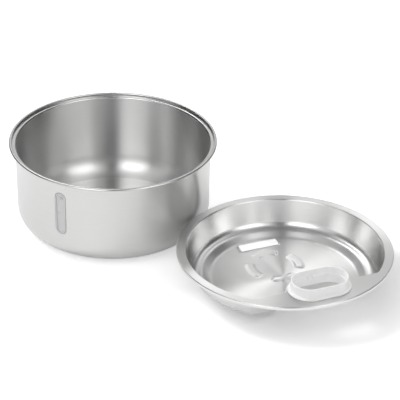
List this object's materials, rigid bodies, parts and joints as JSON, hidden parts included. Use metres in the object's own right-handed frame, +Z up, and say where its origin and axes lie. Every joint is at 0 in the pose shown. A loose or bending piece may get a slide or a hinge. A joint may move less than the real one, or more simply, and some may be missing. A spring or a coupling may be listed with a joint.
{
  "type": "pet water fountain",
  "caption": "Round steel water bowl with a clear level window, a drinking tray set beside it with a raised oval collar, and a pump and filter stack inside the bowl.",
  "frame": {"origin": "middle of the bowl's base, on the plane that it stands on", "axes": "+Z up; -Y from the bowl's middle towards the side that holds the pump and filter stack, which is the side seen from the front; +X towards the side where the tray stands"},
  "size_m": [0.4744, 0.3997, 0.1134],
  "materials": {
    "bowl_steel": "satin, polished inside",
    "tray_steel": "turned satin with radial sheen",
    "clear_lens": "clear, polished",
    "dark_rubber": "matte",
    "white_plastic": "fine satin",
    "nut_steel": "plain",
    "milky_plastic": "milky, satin gloss",
    "pale_rubber": "matte, translucent",
    "housing_plastic": "fine spark texture",
    "cover_plastic": "satin",
    "seal_rubber": "matte",
    "ceramic": "ground ceramic",
    "foot_rubber": "matte",
    "magnet": "dark sintered",
    "sponge": "open-cell foam",
    "slider_plastic": "satin",
    "tub_plastic": "satin gloss",
    "lid_plastic": "satin gloss",
    "cartridge_plastic": "satin",
    "foam": "open-cell foam",
    "carbon": "felted carbon",
    "soft_silicone": "translucent matte"
  },
  "bodies": {
    "bowl": {"reservoir_bowl": "bowl_steel", "level_window": "clear_lens", "window_gasket": "dark_rubber", "window_frame": "white_plastic", "window_nuts": "nut_steel", "pump_housing": "housing_plastic", "volute_cover": "cover_plastic", "volute_seal": "seal_rubber", "nipple_seal": "seal_rubber", "rotor_shaft": "ceramic", "shaft_bushes": "dark_rubber", "suction_feet": "foot_rubber", "cable_gland": "dark_rubber"},
    "tray": {"drinking_tray": "tray_steel", "tray_collar": "milky_plastic", "collar_gasket": "pale_rubber", "collar_lock_ring": "milky_plastic"},
    "rotor": {"impeller": "white_plastic", "rotor_magnet": "magnet"},
    "grille": {"intake_grille": "cover_plastic", "intake_sponge": "sponge"},
    "slider": {"flow_slider": "slider_plastic"},
    "tub": {"filter_tub": "tub_plastic"},
    "cartridge": {"filter_lid": "lid_plastic", "cartridge_frame": "cartridge_plastic", "foam_pad": "foam", "carbon_pad": "carbon", "spout": "soft_silicone"}
  },
  "joints": [
    {"name": "tray_lift", "type": "slide", "parent": "bowl", "child": "tray", "axis": [0, 0, 1], "range_m": [0, 0.06]},
    {"name": "impeller_spin", "type": "hinge", "parent": "bowl", "child": "rotor", "pos_m": [-0.001, -0.06942, 0.0213], "axis": [1, 0, 0], "continuous": true},
    {"name": "grille_slide", "type": "slide", "parent": "bowl", "child": "grille", "axis": [1, 0, 0], "range_m": [0, 0.018]},
    {"name": "flow_slide", "type": "slide", "parent": "grille", "child": "slider", "axis": [0, 1, 0], "range_m": [0, 0.008]},
    {"name": "tub_lift", "type": "slide", "parent": "bowl", "child": "tub", "axis": [0, 0, 1], "range_m": [0, 0.015]},
    {"name": "cartridge_lift", "type": "slide", "parent": "tub", "child": "cartridge", "axis": [0, 0, 1], "range_m": [0, 0.03]}
  ]
}
